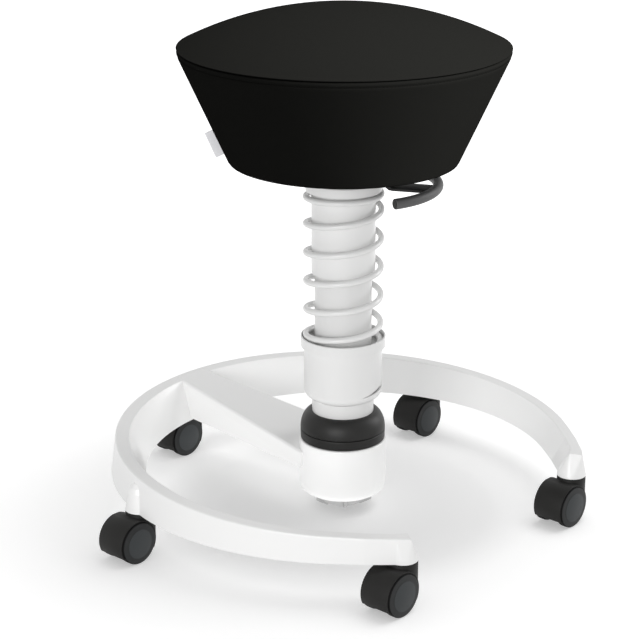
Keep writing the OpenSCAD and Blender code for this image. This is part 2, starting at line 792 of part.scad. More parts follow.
// Conical side cover, turned in at the bottom
module side_cover() {
    color(fabric) rotate_extrude($fn = 144) polygon([
        [seat_bottom_r - 3.6, seat_z], [seat_bottom_r - 1.5, seat_z], [seat_bottom_r + 1, seat_z + 2],
        [seam_r - 0.4, seam_z - 2], [seam_r - 1.6, seam_z - 0.4], [seam_r - cover_t - 0.9, seam_z - 0.4],
        [side_r(pan_top_z) - cover_t - 0.2, pan_top_z], [seat_bottom_r - 3.6, seat_z + 6]
    ]);
}

// Crowned top cover, drawn in at the seam
module top_cover() {
    color(fabric) rotate_extrude($fn = 144) polygon(concat(
        [[seam_r - cover_t - 0.9, seam_z], [seam_r - 1, seam_z]],
        arc(rim_r - rim_round, seam_z + rim_round, rim_round, -60, 30, 4),
        dome(0),
        [for (i = [16:-1:0]) dome(cover_t)[i]]
    ));
}

// Small folded label sewn to the side
module side_tag() {
    tag_az = 232;
    tag_z = 464;
    tag_l = 32;
    tag_w = 10;
    lean = atan(cone_slope);
    color("gainsboro") rotate([0, 0, tag_az]) translate([side_r(tag_z) + 0.4, 0, tag_z]) rotate([0, lean, 0])
        translate([0, -0.5, -tag_l / 2]) cube([tag_w, 1, tag_l]);
}

// Hooded housing that swivels on the stem's pin
module castor_housing(i) {
    hood_w = castor_w - 5.6;
    hood_top_z = 51.6;
    lip_z = 12;
    web_r = 10;
    gap = 0.6;
    bore_r = stem_pin_r + fit;
    color(charcoal) at_castor(i) difference() {
        union() {
            intersection() {
                translate([0, -trail, wheel_r]) rotate([0, 90, 0])
                    cylinder(r = hood_r, h = hood_w, center = true);
                translate([-40, -60, lip_z]) cube([80, 100, hood_top_z - lip_z]);
            }
            translate([0, 0, lip_z + 8]) cylinder(r = collar_r, h = castor_top_z - lip_z - 8);
            translate([0, -trail, wheel_r]) rotate([0, 90, 0])
                cylinder(r = web_r, h = 2 * (wheel_inner_x - gap), center = true);
        }
        for (side = [0, 180]) translate([0, -trail, wheel_r]) rotate([0, 90, side])
            translate([0, 0, wheel_inner_x - gap]) cylinder(r = wheel_r + gap, h = 30);
        translate([0, 0, 29.5]) cylinder(r = bore_r, h = 40);
        translate([0, -trail, wheel_r]) rotate([0, 90, 0]) cylinder(r = axle_r + fit, h = 60, center = true);
    }
}

// Axle through both wheels of a castor
module castor_axle(i) {
    color(steel) at_castor(i) translate([0, -trail, wheel_r]) rotate([0, 90, 0])
        cylinder(r = axle_r, h = castor_w - 6, center = true);
}

// One wheel: a raised disc on its outer face, a rounded tread and a blind bore
module wheel(i, side) {
    half = castor_w / 2;
    face_r = 17;
    edge = 1.4;
    inner_edge = 4;
    color(charcoal) at_castor(i) translate([0, -trail, wheel_r]) rotate([0, side * 90, 0]) difference() {
        rotate_extrude($fn = 120) polygon(concat(
            [[0, wheel_inner_x]],
            arc(wheel_r - inner_edge, wheel_inner_x + inner_edge, inner_edge, -90, 0, 4),
            arc(wheel_r - edge, half - 1.1 - edge, edge, 0, 80, 4),
            [[face_r + 0.8, half - 0.4], [face_r, half], [0, half]]
        ));
        cylinder(r = axle_r + fit, h = half - 2.5);
    }
}

base_casting();
castor_stems();
tilt_carrier();
carrier_circlip();
gimbal_ring();
side_pins();
foot_pins();
column_foot();
tilt_buffer();
preload_plate();
tension_screw();
tension_knob();
gaiter();
lower_tube();
upper_bush();
spring_cup();
coil_spring();
upper_tube();
lower_bush();
spring_plate();
lift_collar();
bump_stop();
gas_sleeve();
sleeve_bush();
piston_rod();
piston();
rod_clip();
gas_cylinder();
valve_button();
seat_bracket();
bracket_screws();
lever_pin();
lever_arm();
lever_handle();
seat_pan();
seat_foam();
bottom_cover();
side_cover();
top_cover();
side_tag();
for (i = castor_ids) {
    castor_housing(i);
    castor_axle(i);
    wheel(i, -1);
    wheel(i, 1);
}
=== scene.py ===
import json
from math import atan2, cos, hypot, pi, radians, sin

import bmesh
import bpy
from mathutils import Matrix, Vector, kdtree

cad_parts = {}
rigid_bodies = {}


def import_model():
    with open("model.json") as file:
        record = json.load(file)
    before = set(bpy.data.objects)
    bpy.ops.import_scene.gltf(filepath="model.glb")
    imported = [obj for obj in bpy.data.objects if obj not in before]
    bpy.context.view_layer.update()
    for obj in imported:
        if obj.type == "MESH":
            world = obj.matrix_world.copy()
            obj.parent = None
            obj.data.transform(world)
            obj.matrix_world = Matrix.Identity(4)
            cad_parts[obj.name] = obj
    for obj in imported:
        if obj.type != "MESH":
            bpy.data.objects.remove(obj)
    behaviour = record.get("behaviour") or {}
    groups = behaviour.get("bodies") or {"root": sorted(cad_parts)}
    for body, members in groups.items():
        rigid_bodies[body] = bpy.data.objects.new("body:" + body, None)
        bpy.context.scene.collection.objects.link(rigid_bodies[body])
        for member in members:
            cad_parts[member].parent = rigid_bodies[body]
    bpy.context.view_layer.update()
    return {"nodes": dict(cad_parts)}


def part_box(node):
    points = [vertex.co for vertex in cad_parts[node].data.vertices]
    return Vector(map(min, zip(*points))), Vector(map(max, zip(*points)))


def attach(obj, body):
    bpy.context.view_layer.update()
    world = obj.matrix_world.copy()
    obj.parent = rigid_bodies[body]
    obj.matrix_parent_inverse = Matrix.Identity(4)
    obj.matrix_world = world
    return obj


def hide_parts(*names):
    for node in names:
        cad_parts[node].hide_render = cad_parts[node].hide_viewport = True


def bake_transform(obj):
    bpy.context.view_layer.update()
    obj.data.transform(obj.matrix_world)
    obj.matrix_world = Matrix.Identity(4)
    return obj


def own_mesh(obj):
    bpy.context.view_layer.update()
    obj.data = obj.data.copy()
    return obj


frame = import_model()
scene = bpy.context.scene

# --- Camera ---
# Long lens at eye height of someone standing a good two metres away, looking a little down
# on the seat. Place, aim and focal length come from fitting the castor wheels and the ring.
camera_turn = radians(41.7)
camera_pitch = radians(19.03)
camera_yaw = radians(-0.70)
camera_away = 2.2616
camera_height = 1.0195
lens_px = 2001.8
image_px = 640
sensor_mm = 36.0

camera_data = bpy.data.cameras.new("stool_camera")
camera_data.sensor_fit = "HORIZONTAL"
camera_data.sensor_width = sensor_mm
camera_data.lens = lens_px * sensor_mm / image_px
camera_data.clip_end = 30
camera = bpy.data.objects.new("stool_camera", camera_data)
scene.collection.objects.link(camera)
turn = Matrix.Rotation(camera_turn, 3, "Z")
ahead = turn @ Vector((sin(camera_yaw) * cos(camera_pitch), cos(camera_yaw) * cos(camera_pitch),
                       -sin(camera_pitch)))
to_right = turn @ Vector((cos(camera_yaw), -sin(camera_yaw), 0))
upward = to_right.cross(ahead)
stand = turn @ Vector((0, -camera_away, camera_height))
camera.matrix_world = Matrix((to_right, upward, -ahead)).transposed().to_4x4()
camera.matrix_world.translation = stand
scene.camera = camera

# --- Studio ---
# Pale floor that runs out of the picture, and six soft lamps: three for the white and small
# parts, two for the black seat and one for the floor. The floor keeps the shadow.
def new_material(name):
    material = bpy.data.materials.new(name)
    material.use_nodes = True
    tree = material.node_tree
    return material, tree, tree.nodes["Principled BSDF"]


def studio_rays(tree):
    """1 for rays from the camera, or off or through something glossy: those see a white studio."""
    path = tree.nodes.new("ShaderNodeLightPath")
    either = tree.nodes.new("ShaderNodeMath")
    either.operation = "MAXIMUM"
    tree.links.new(path.outputs["Is Camera Ray"], either.inputs[0])
    tree.links.new(path.outputs["Is Glossy Ray"], either.inputs[1])
    both = tree.nodes.new("ShaderNodeMath")
    both.operation = "MAXIMUM"
    tree.links.new(either.outputs[0], both.inputs[0])
    tree.links.new(path.outputs["Is Transmission Ray"], both.inputs[1])
    return both.outputs[0]


floor_mesh = bpy.data.meshes.new("studio_floor")
floor_size = 12
floor_mesh.from_pydata([(x * floor_size, y * floor_size, 0) for x, y in ((-1, -1), (1, -1), (1, 1), (-1, 1))],
                       [], [(0, 1, 2, 3)])
floor = bpy.data.objects.new("studio_floor", floor_mesh)
scene.collection.objects.link(floor)
floor_paper, tree, shader = new_material("studio_paper")
shader.inputs["Base Color"].default_value = (0.80, 0.80, 0.80, 1)
shader.inputs["Roughness"].default_value = 0.9
shader.inputs["Specular IOR Level"].default_value = 0.1
shader.inputs["Emission Color"].default_value = (1, 1, 1, 1)
# The paper is seen to glow a little, less near the stool as painted shade round it, and inside the ring a glowing
# patch throws painted light up at the stool. The strengths follow the floor's tone in the photograph.
spot = tree.nodes.new("ShaderNodeTexCoord")
painted_floor_glow = tree.nodes.new("ShaderNodeMix")
tree.links.new(studio_rays(tree), painted_floor_glow.inputs["Factor"])
paper_edge = 1.6
# A: a patch under the stool that glows for bounce rays, painted light up at the stool. B: the paper as the camera sees
# it, darker near the stool as painted shade.
for side, centre, stops in (("A", (-0.05, -0.05, 0), ((0.14, 0.75), (0.27, 0.05))),
                            ("B", (0, 0, 0), ((0.12, 0.16), (0.18, 0.20), (0.24, 0.37), (0.3, 0.42), (0.44, 0.53),
                                         (0.7, 0.68), (1.5, 0.92)))):
    reach = tree.nodes.new("ShaderNodeVectorMath")
    reach.operation = "DISTANCE"
    reach.inputs[1].default_value = centre
    share = tree.nodes.new("ShaderNodeMath")
    share.operation = "DIVIDE"
    share.inputs[1].default_value = paper_edge
    ramp = tree.nodes.new("ShaderNodeValToRGB")
    steps = ramp.color_ramp.elements
    steps[0].position, steps[1].position = stops[0][0] / paper_edge, stops[-1][0] / paper_edge
    steps[0].color, steps[1].color = (*[stops[0][1]] * 3, 1), (*[stops[-1][1]] * 3, 1)
    for distance, strength in stops[1:-1]:
        steps.new(distance / paper_edge).color = (strength, strength, strength, 1)
    tree.links.new(spot.outputs["Object"], reach.inputs[0])
    tree.links.new(reach.outputs["Value"], share.inputs[0])
    tree.links.new(share.outputs[0], ramp.inputs["Fac"])
    tree.links.new(ramp.outputs["Color"], painted_floor_glow.inputs[side])
tree.links.new(painted_floor_glow.outputs["Result"], shader.inputs["Emission Strength"])
floor_mesh.materials.append(floor_paper)

world = bpy.data.worlds.new("studio_air")
world.use_nodes = True
scene.world = world
air = world.node_tree.nodes["Background"]
air.inputs["Color"].default_value = (1, 1, 1, 1)
level = world.node_tree.nodes.new("ShaderNodeMapRange")
level.inputs["To Min"].default_value = 0.46
level.inputs["To Max"].default_value = 1.0
world.node_tree.links.new(studio_rays(world.node_tree), level.inputs["Value"])
world.node_tree.links.new(level.outputs["Result"], air.inputs["Strength"])


def softbox(name, place, aim, width, height, watts):
    data = bpy.data.lights.new(name, "AREA")
    data.shape = "RECTANGLE"
    data.size, data.size_y = width, height
    data.energy = watts
    lamp = bpy.data.objects.new(name, data)
    scene.collection.objects.link(lamp)
    lamp.location = place
    lamp.rotation_euler = (Vector(aim) - Vector(place)).to_track_quat("-Z", "Y").to_euler()
    return lamp


def beside_camera(right, away, up):
    """A place given as the camera sees it: to the right, towards the camera and up."""
    return turn @ Vector((right, -away, up))


front_lamp = softbox("front_lamp", beside_camera(-0.9, 2.8, 0.8), (0, 0, 0.1), 1.8, 1.2, 38)
right_lamp = softbox("right_lamp", beside_camera(2.4, -1.0, 1.2), (0, 0, 0.4), 1.2, 1.6, 24)
top_lamp = softbox("top_lamp", beside_camera(0.2, -0.2, 2.6), (0, 0, 0), 1.6, 1.6, 6)
floor_lamp = softbox("floor_lamp", beside_camera(0.9, -0.3, 2.3), (0, 0, 0), 1.9, 1.9, 24)
seat_top_lamp = softbox("seat_top_lamp", beside_camera(-0.6, -0.2, 2.4), (0, 0, 0.5), 1.2, 1.2, 24)
seat_lamp = softbox("seat_lamp", beside_camera(2.1, 1.1, 1.85), (0, 0, 0.52), 1.4, 1.4, 155)
scene.view_settings.view_transform = "Standard"

# The black seat and the floor have lamps of their own, and the white parts have the others
lit_seat = bpy.data.collections.new("lit_by_seat_lamps")
lit_floor = bpy.data.collections.new("lit_by_floor_lamp")
unlit_front = bpy.data.collections.new("unlit_by_front_lamps")
unlit_top = bpy.data.collections.new("unlit_by_top_lamp")
for lamp, receivers in ((seat_lamp, lit_seat), (seat_top_lamp, lit_seat), (floor_lamp, lit_floor),
                        (front_lamp, unlit_front), (right_lamp, unlit_front), (top_lamp, unlit_top)):
    lamp.light_linking.receiver_collection = receivers


def unlit(piece, *collections):
    """The lamps of these collections leave the piece out."""
    for receivers in collections:
        receivers.objects.link(piece)
        receivers.collection_objects[len(receivers.objects) - 1].light_linking.link_state = "EXCLUDE"


lit_floor.objects.link(floor)
unlit(floor, unlit_front, unlit_top)


def in_seat_light(piece):
    """The seat's lamps light this piece and the front and right lamps don't."""
    lit_seat.objects.link(piece)
    unlit(piece, unlit_front)


# --- Castings and tubes in white enamel ---
# The ring, arm and hub are one aluminium casting; tubes, cup and plate are steel. All are
# sprayed in thick white enamel with a faint orange-peel skin. The four tones below stand for
# one enamel: each was matched to its piece's brightness in the photograph under these lamps, so the darker tones of
# the cup, the tubes and the spring are painted shade.
def node_group(name, floats=(), colours=(), outputs=()):
    """An empty shader group: floats and colours are its named inputs, outputs are (name, type)."""
    group = bpy.data.node_groups.new(name, "ShaderNodeTree")
    for label, value in floats:
        group.interface.new_socket(label, in_out="INPUT", socket_type="NodeSocketFloat").default_value = value
    for label, value in colours:
        group.interface.new_socket(label, in_out="INPUT", socket_type="NodeSocketColor").default_value = value
    for label, kind in outputs:
        group.interface.new_socket(label, in_out="OUTPUT", socket_type=kind)
    return group, group.nodes.new("NodeGroupInput"), group.nodes.new("NodeGroupOutput")


def add(tree, kind, **settings):
    """A node with some of its sockets set by name and its properties by lower-case name."""
    node = tree.nodes.new(kind)
    for key, value in settings.items():
        if hasattr(node, key):
            setattr(node, key, value)
        else:
            node.inputs[key.replace("_", " ").title()].default_value = value
    return node


def link(tree, start, end):
    tree.links.new(start, end)


# Grain: fine bumps and patches of slightly other tone and gloss, on every hard finish
grain, g_in, g_out = node_group(
    "finish_grain",
    floats=(("Bump Scale", 400.0), ("Patch Scale", 9.0), ("Patch Depth", 0.04), ("Roughness", 0.3),
            ("Roughness Spread", 0.06)),
    colours=(("Colour", (0.8, 0.8, 0.8, 1)),),
    outputs=(("Colour", "NodeSocketColor"), ("Roughness", "NodeSocketFloat"), ("Height", "NodeSocketFloat")))
place = grain.nodes.new("ShaderNodeTexCoord")
fine = add(grain, "ShaderNodeTexNoise", detail=3.0, roughness=0.55)
broad = add(grain, "ShaderNodeTexNoise", detail=4.0, roughness=0.6)
for texture, size in ((fine, "Bump Scale"), (broad, "Patch Scale")):
    link(grain, place.outputs["Object"], texture.inputs["Vector"])
    link(grain, g_in.outputs[size], texture.inputs["Scale"])
tone = add(grain, "ShaderNodeMath", operation="MULTIPLY_ADD")
link(grain, broad.outputs["Fac"], tone.inputs[0])
link(grain, g_in.outputs["Patch Depth"], tone.inputs[1])
lift = add(grain, "ShaderNodeMath", operation="MULTIPLY_ADD")
link(grain, g_in.outputs["Patch Depth"], lift.inputs[0])
lift.inputs[1].default_value = -0.5
lift.inputs[2].default_value = 1.0
link(grain, lift.outputs[0], tone.inputs[2])
shade = add(grain, "ShaderNodeVectorMath", operation="SCALE")
link(grain, g_in.outputs["Colour"], shade.inputs[0])
link(grain, tone.outputs[0], shade.inputs["Scale"])
gloss = add(grain, "ShaderNodeMath", operation="MULTIPLY_ADD")
link(grain, broad.outputs["Fac"], gloss.inputs[0])
link(grain, g_in.outputs["Roughness Spread"], gloss.inputs[1])
link(grain, g_in.outputs["Roughness"], gloss.inputs[2])
link(grain, shade.outputs["Vector"], g_out.inputs["Colour"])
link(grain, gloss.outputs[0], g_out.inputs["Roughness"])
link(grain, fine.outputs["Fac"], g_out.inputs["Height"])


def grained(name, colour, roughness, bump_mm, bump_scale=400.0, patch_scale=9.0, patch_depth=0.04,
            roughness_spread=0.06, metallic=0.0, coat=0.0, coat_roughness=0.1, specular=0.5):
    """A hard finish made with the grain group; bump_mm is the height of its fine bumps."""
    material, tree, shader = new_material(name)
    shader.inputs["Metallic"].default_value = metallic
    shader.inputs["Coat Weight"].default_value = coat
    shader.inputs["Coat Roughness"].default_value = coat_roughness
    shader.inputs["Specular IOR Level"].default_value = specular
    node = tree.nodes.new("ShaderNodeGroup")
    node.node_tree = grain
    node.inputs["Colour"].default_value = (*colour, 1)
    for label, value in (("Bump Scale", bump_scale), ("Patch Scale", patch_scale), ("Patch Depth", patch_depth),
                         ("Roughness", roughness), ("Roughness Spread", roughness_spread)):
        node.inputs[label].default_value = value
    bump = add(tree, "ShaderNodeBump", distance=bump_mm / 1000)
    link(tree, node.outputs["Colour"], shader.inputs["Base Color"])
    link(tree, node.outputs["Roughness"], shader.inputs["Roughness"])
    link(tree, node.outputs["Height"], bump.inputs["Height"])
    link(tree, bump.outputs["Normal"], shader.inputs["Normal"])
    return material


def finish(material, *nodes):
    """Gives CAD nodes their material."""
    for name in nodes:
        mesh = frame["nodes"][name].data
        mesh.materials.clear()
        mesh.materials.append(material)


def shaped(name, points, faces, material):
    """A smooth-shaded piece of its own mesh, its faces outward."""
    mesh = bpy.data.meshes.new(name)
    mesh.from_pydata(points, [], faces)
    work = bmesh.new()
    work.from_mesh(mesh)
    bmesh.ops.recalc_face_normals(work, faces=work.faces)
    work.to_mesh(mesh)
    work.free()
    mesh.shade_smooth()
    mesh.materials.append(material)
    piece = bpy.data.objects.new(name, mesh)
    scene.collection.objects.link(piece)
    return piece


def turned(name, outline, sides, material, relief=None):
    """A closed outline of (radius, height) points turned round the column's axis.
    relief(radius, height, angle) gives how far a point stands off, outwards and upwards."""
    points, rings, faces = [], [], []
    for radius, height in outline:
        ring = []
        for k in range(1 if radius < 1e-6 else sides):
            angle = 2 * pi * k / sides
            out, up = relief(radius, height, angle) if relief else (0, 0)
            ring.append(len(points))
            points.append(((radius + out) * cos(angle), (radius + out) * sin(angle), height + up))
        rings.append(ring)
    closed = len(rings[0]) > 1
    for a, b in zip(rings, rings[1:] + rings[:1] if closed else rings[1:]):
        for k in range(sides):
            n = (k + 1) % sides
            if len(a) == 1 and len(b) == 1:
                continue
            if len(a) == 1:
                faces.append((a[0], b[k], b[n]))
            elif len(b) == 1:
                faces.append((a[k], b[0], a[n]))
            else:
                faces.append((a[k], b[k], b[n], a[n]))
    return shaped(name, points, faces, material)


def sharpen(piece, degrees=32):
    """Keeps the piece's real corners crisp while its round faces shade smoothly."""
    piece.data.set_sharp_from_angle(angle=radians(degrees))


def rounded(points, radii, steps=4):
    """An outline with its corners rounded: one radius for each point, 0 for a crisp corner."""
    made = []
    count = len(points)
    for i, (point, radius) in enumerate(zip(points, radii)):
        here = Vector(point)
        back = (Vector(points[i - 1]) - here)
        ahead_of = (Vector(points[(i + 1) % count]) - here)
        if radius <= 0:
            made.append(tuple(here))
            continue
        reach = min(radius, back.length * 0.49, ahead_of.length * 0.49)
        start, end = here + back.normalized() * reach, here + ahead_of.normalized() * reach
        for k in range(steps + 1):
            t = k / steps
            made.append(tuple(start * (1 - t) ** 2 + here * 2 * t * (1 - t) + end * t ** 2))
    return made


def enamel(name, tone, roughness=0.26, coat=0.25):
    """White enamel of this tone, a trace warmer than grey."""
    return grained(name, (tone, tone, tone - 0.005), roughness, bump_mm=0.02, bump_scale=420, patch_depth=0.02,
                   coat=coat)


casting_enamel = enamel("casting_enamel", 0.93)
# Painted shade: the cup, the tubes and the spring get darker tones of the one white enamel than the casting.
cup_enamel_painted_shade = enamel("cup_enamel_painted_shade", 0.82)
tube_enamel_painted_shade = enamel("tube_enamel_painted_shade", 0.83)
inner_enamel_painted_shade = enamel("inner_enamel_painted_shade", 0.77, roughness=0.28, coat=0.2)
bright_steel = grained("bright_steel", (0.55, 0.55, 0.56), 0.3, bump_mm=0.005, metallic=1.0)


def eased(name, node, body, width_mm, material, angle=35, segments=2):
    """The node's own shape in its place, its edges eased by a small round where a width is given."""
    source = frame["nodes"][node]
    mesh = source.data.copy()
    mesh.materials.clear()
    mesh.materials.append(material)
    piece = bpy.data.objects.new(name, mesh)
    scene.collection.objects.link(piece)
    work = bmesh.new()
    work.from_mesh(mesh)
    bmesh.ops.remove_doubles(work, verts=work.verts, dist=2e-5)
    if width_mm:
        bmesh.ops.dissolve_limit(work, angle_limit=radians(1.0), verts=work.verts, edges=work.edges)
        edges = [e for e in work.edges if len(e.link_faces) == 2 and e.calc_face_angle() > radians(angle)]
        bmesh.ops.bevel(work, geom=edges, offset=width_mm / 1000, segments=segments, profile=0.5, affect="EDGES",
                        clamp_overlap=True)
        bmesh.ops.triangulate(work, faces=[f for f in work.faces if len(f.verts) > 4])
    work.to_mesh(mesh)
    work.free()
    mesh.shade_smooth()
    sharpen(piece, 50 if width_mm else 30)
    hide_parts(node)
    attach(piece, body)
    return piece


def painted(piece, material, picks):
    """One more material, on the faces that picks(centre, normal) chooses."""
    piece.data.materials.append(material)
    for face in piece.data.polygons:
        if picks(face.center, face.normal):
            face.material_index = len(piece.data.materials) - 1


finish(casting_enamel, "base_casting")
finish(cup_enamel_painted_shade, "spring_cup", "spring_plate")
finish(tube_enamel_painted_shade, "upper_tube")
finish(inner_enamel_painted_shade, "lower_tube")

# --- Castors ---
# Bought twin-wheel castors: a black nylon hood and grey nylon wheels with a raised cap, on a
# steel axle. The tread is painted near black as shade under the hood, and the cap a lighter grey as painted light.
# Each swivels on a steel stem pressed into a foot of the ring.
castor_nylon = grained("castor_nylon", (0.012, 0.0117, 0.011), 0.5, bump_mm=0.03, bump_scale=900, specular=0.2)
wheel_nylon = grained("wheel_nylon", (0.022, 0.023, 0.0235), 0.45, bump_mm=0.02, bump_scale=900, specular=0.2)
# Painted shade: the tread is near black for the shade under the hood. Painted light: the raised cap is a lighter grey
# where the wheel's face is lit.
tread_nylon_painted_shade = grained("tread_nylon_painted_shade", (0.006, 0.006, 0.006), 0.6, bump_mm=0.03, bump_scale=900, specular=0.1)
cap_nylon_painted_light = grained("cap_nylon_painted_light", (0.042, 0.046, 0.048), 0.42, bump_mm=0.02, bump_scale=900, specular=0.2)
lit_cap_r = 0.0174
shaded_tread_r = 0.0236
for i in range(1, 6):
    eased(f"castor_hood_{i}", f"castor_housing_{i}", f"castor_{i}", 0.6, castor_nylon)
    for side in ("left", "right"):
        node = f"wheel_{side}_{i}"
        low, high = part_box(node)
        axle_y, axle_z = (low.y + high.y) / 2, (low.z + high.z) / 2
        wheel = eased(f"castor_wheel_{side}_{i}", node, f"{side}_{i}", 0, wheel_nylon)
        # Painted shade on the tread faces, painted light on the cap faces.
        painted(wheel, tread_nylon_painted_shade, lambda centre, normal: abs(normal.x) < 0.8
                and hypot(centre.y - axle_y, centre.z - axle_z) > shaded_tread_r)
        painted(wheel, cap_nylon_painted_light, lambda centre, normal: hypot(centre.y - axle_y, centre.z - axle_z) < lit_cap_r)
    finish(bright_steel, f"castor_axle_{i}")
finish(bright_steel, "castor_stems")

# --- Tilt joint and tension knob ---
# Gimbal of machined steel inside the hub, with a rubber buffer under the column's foot. The
# ribbed knob of grey plastic under the hub presses the plate against the buffer.
finish(bright_steel, "tilt_carrier", "carrier_circlip", "gimbal_ring", "side_pins", "foot_pins", "column_foot",
       "preload_plate", "tension_screw")
gaiter_rubber = grained("gaiter_rubber", (0.009, 0.0088, 0.0082), 0.42, bump_mm=0.02, bump_scale=700, specular=0.3)
finish(gaiter_rubber, "tilt_buffer", "bump_stop")
knob_plastic = grained("knob_plastic", (0.40, 0.40, 0.40), 0.5, bump_mm=0.03, bump_scale=700)
finish(knob_plastic, "tension_knob")

# --- Gaiter ---
# Moulded black rubber, open at both ends: a straight skirt on the hub, a groove round its
# widest part, and a dome that closes on the neck of the column.
gaiter_low, gaiter_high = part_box("gaiter")
gaiter_r = gaiter_high.x
hub_top_z = gaiter_low.z - 0.0006
groove_z = hub_top_z + 0.0121
dome_low_z = groove_z + 0.001
neck_r = 0.0373
lip_r = neck_r + 0.0002
dome_h = gaiter_high.z - dome_low_z
skirt = rounded([(gaiter_r - 0.0034, gaiter_low.z), (gaiter_r - 0.0004, gaiter_low.z), (gaiter_r, groove_z - 0.001),
                 (gaiter_r - 0.0014, groove_z), (gaiter_r - 0.0034, groove_z)], (0, 0.0006, 0.0008, 0, 0))
dome_steps = 20
dome_outside = [(neck_r + 0.0006 + (gaiter_r - neck_r - 0.0006) * cos(pi / 2 * k / dome_steps),
                 dome_low_z + dome_h * sin(pi / 2 * k / dome_steps)) for k in range(dome_steps + 1)]
dome_inside = [(lip_r + (gaiter_r - 0.003 - lip_r) * cos(pi / 2 * k / dome_steps),
                dome_low_z + (dome_h - 0.003) * sin(pi / 2 * k / dome_steps)) for k in range(dome_steps, -1, -1)]
bellows = [(gaiter_r - 0.0014, groove_z)] + dome_outside + [(lip_r, gaiter_high.z)] + dome_inside
gaiter_skirt = turned("gaiter_skirt", skirt, 144, gaiter_rubber)
gaiter_dome = turned("gaiter_dome", bellows + [(gaiter_r - 0.0034, groove_z)], 144, gaiter_rubber)
for piece in (gaiter_skirt, gaiter_dome):
    sharpen(piece, 45)
    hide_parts("gaiter")
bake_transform(gaiter_skirt)
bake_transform(gaiter_dome)

# --- Column guides, gas lift and valve ---
# Nylon guide bushes between the tubes, a gas spring with its steel sleeve and rod, and the
# button of its valve under the seat.
finish(bright_steel, "lift_collar", "gas_sleeve", "piston_rod", "rod_clip", "gas_cylinder")
guide_plastic = grained("guide_plastic", (0.6, 0.6, 0.58), 0.5, bump_mm=0.02)
finish(guide_plastic, "upper_bush", "lower_bush", "sleeve_bush")
black_plastic = grained("black_plastic", (0.02, 0.02, 0.02), 0.5, bump_mm=0.02)
finish(black_plastic, "piston", "valve_button", "seat_bracket")

# --- Coil spring ---
# Cold-wound steel wire in the same white enamel, right-handed and closed at both ends. It
# stands in the cup and carries the plate.
def modifier_tree(name, inputs):
    """A Geometry Nodes tree with named inputs after its geometry."""
    tree = bpy.data.node_groups.new(name, "GeometryNodeTree")
    tree.interface.new_socket("Geometry", in_out="INPUT", socket_type="NodeSocketGeometry")
    sockets = {label: tree.interface.new_socket(label, in_out="INPUT", socket_type=kind) for label, kind in inputs}
    tree.interface.new_socket("Geometry", in_out="OUTPUT", socket_type="NodeSocketGeometry")
    return tree, tree.nodes.new("NodeGroupInput"), tree.nodes.new("NodeGroupOutput"), sockets


def grown(name, source, tree, sockets, values):
    """The plain mesh that the tree makes of the source object, as a piece of its own."""
    modifier = source.modifiers.new(name, "NODES")
    modifier.node_group = tree
    for label, value in values.items():
        modifier[sockets[label].identifier] = value
    evaluated = source.evaluated_get(bpy.context.evaluated_depsgraph_get())
    mesh = bpy.data.meshes.new_from_object(evaluated)
    mesh.name = name
    piece = bpy.data.objects.new(name, mesh)
    scene.collection.objects.link(piece)
    bpy.data.objects.remove(source)
    return piece


def path_curve(name, points, closed=False):
    """A curve object through the points."""
    data = bpy.data.curves.new(name, "CURVE")
    data.dimensions = "3D"
    spline = data.splines.new("POLY")
    spline.points.add(len(points) - 1)
    for slot, point in zip(spline.points, points):
        slot.co = (*point, 1)
    spline.use_cyclic_u = closed
    curve = bpy.data.objects.new(name, data)
    scene.collection.objects.link(curve)
    return curve


wire_tree, w_in, w_out, wire_sockets = modifier_tree(
    "round_wire", (("Radius", "NodeSocketFloat"), ("Sides", "NodeSocketInt"), ("Material", "NodeSocketMaterial")))
circle = wire_tree.nodes.new("GeometryNodeCurvePrimitiveCircle")
sweep = wire_tree.nodes.new("GeometryNodeCurveToMesh")
soften = wire_tree.nodes.new("GeometryNodeSetShadeSmooth")
real = wire_tree.nodes.new("GeometryNodeRealizeInstances")
paint = wire_tree.nodes.new("GeometryNodeSetMaterial")
sweep.inputs["Fill Caps"].default_value = True
for start, end in ((w_in.outputs["Geometry"], sweep.inputs["Curve"]),
                   (w_in.outputs["Radius"], circle.inputs["Radius"]),
                   (w_in.outputs["Sides"], circle.inputs["Resolution"]),
                   (circle.outputs["Curve"], sweep.inputs["Profile Curve"]),
                   (sweep.outputs["Mesh"], soften.inputs["Geometry"]),
                   (soften.outputs["Geometry"], real.inputs["Geometry"]),
                   (real.outputs["Geometry"], paint.inputs["Geometry"]),
                   (w_in.outputs["Material"], paint.inputs["Material"]),
                   (paint.outputs["Geometry"], w_out.inputs["Geometry"])):
    link(wire_tree, start, end)

wire_d = 0.0075
coil_r = 0.0445
coil_turns = 6.4
spring_seat_z = 0.2094
spring_plate_z = 0.4015
wire_start = radians(221.7 + 108)
steps_per_turn = 72
closed_pitch = 0.09
opening_turns = 1.15
closing_turns = 0.6
closed_turns = 0.4


def pitch_share(t):
    """Share of the full pitch at turn t: the first and the last turn lie almost flat."""
    if t < opening_turns:
        return closed_pitch + (1 - closed_pitch) * t / opening_turns
    if t < coil_turns - closed_turns - closing_turns:
        return 1
    if t < coil_turns - closed_turns:
        return 1 - (1 - closed_pitch) * (t - coil_turns + closed_turns + closing_turns) / closing_turns
    return closed_pitch


